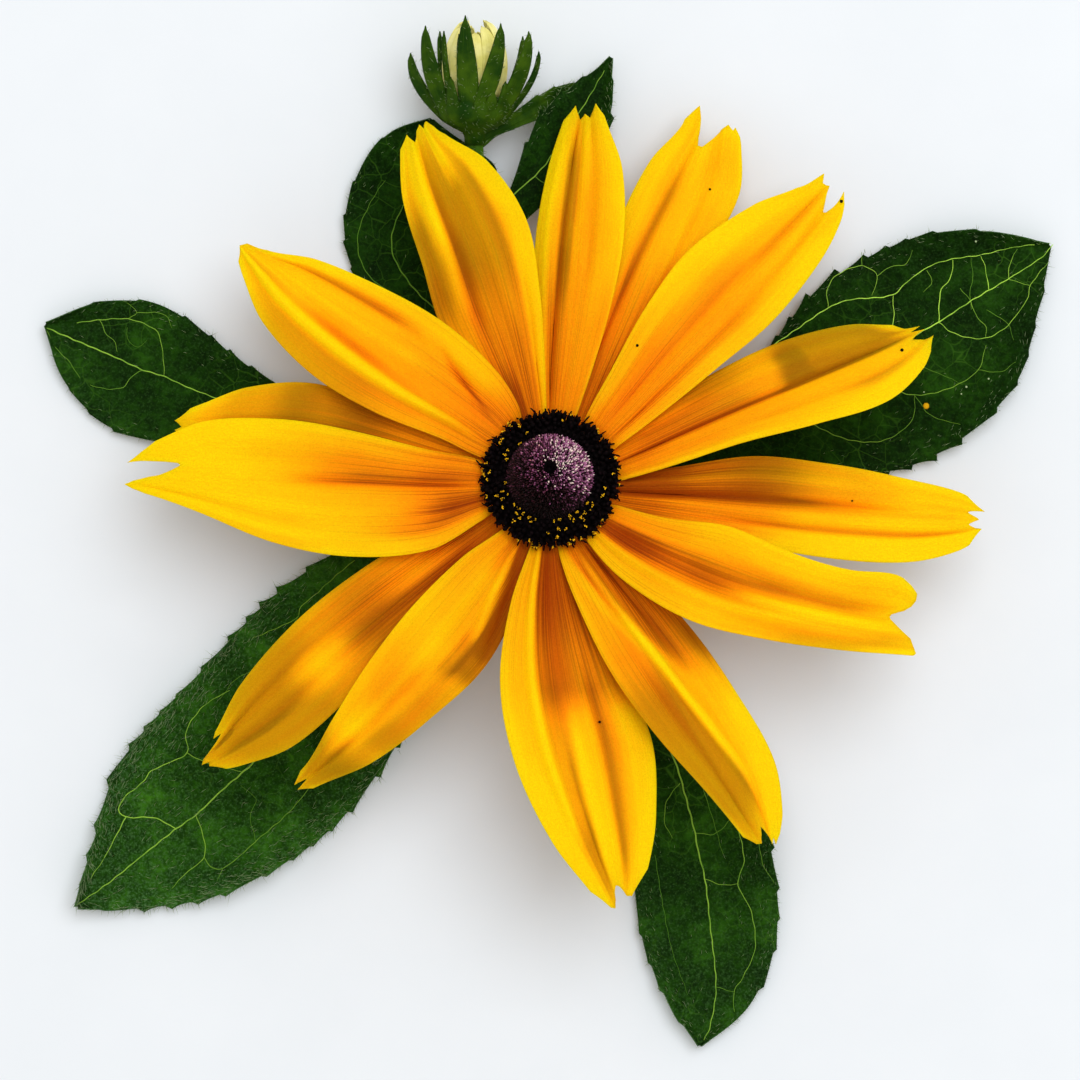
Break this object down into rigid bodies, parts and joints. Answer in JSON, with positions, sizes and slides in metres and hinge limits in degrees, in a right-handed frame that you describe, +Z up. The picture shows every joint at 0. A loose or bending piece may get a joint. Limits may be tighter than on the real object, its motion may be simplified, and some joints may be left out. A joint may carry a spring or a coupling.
{
  "type": "black-eyed Susan cut flower",
  "caption": "Single cut bloom lying face up on its own toothed leaves: yellow rays round a dark domed disc, with a side bud on its stalk.",
  "frame": {"origin": "middle of the flower's outline, on the surface that its leaves lie on", "axes": "+Z up, the way the bloom faces; +Y from the bloom towards its side bud; +X to the right of that"},
  "size_m": [0.1142, 0.1162, 0.0231],
  "materials": {
    "ray": "satin",
    "disc": "matte",
    "floret": "matte",
    "leaf": "satin",
    "stem": "satin",
    "bract": "matte",
    "bud_ray": "matte",
    "bud_disc": "matte"
  },
  "bodies": {
    "root": {"disc_dome": "disc", "disc_ring": "floret", "involucre": "bract", "ray_01": "ray", "ray_02": "ray", "ray_03": "ray", "ray_04": "ray", "ray_05": "ray", "ray_06": "ray", "ray_07": "ray", "ray_08": "ray", "ray_09": "ray", "ray_10": "ray", "ray_11": "ray", "ray_12": "ray", "ray_13": "ray", "ray_14": "ray", "bud_involucre": "bract", "bud_rays": "bud_ray", "bud_disc": "bud_disc", "stem": "stem", "bud_stalk": "stem", "leaf_right": "leaf", "leaf_left": "leaf", "leaf_lower": "leaf", "leaf_bottom": "leaf", "stalk_leaf_outer": "leaf", "stalk_leaf_inner": "leaf", "bud_leaflet": "leaf"}
  },
  "joints": []
}
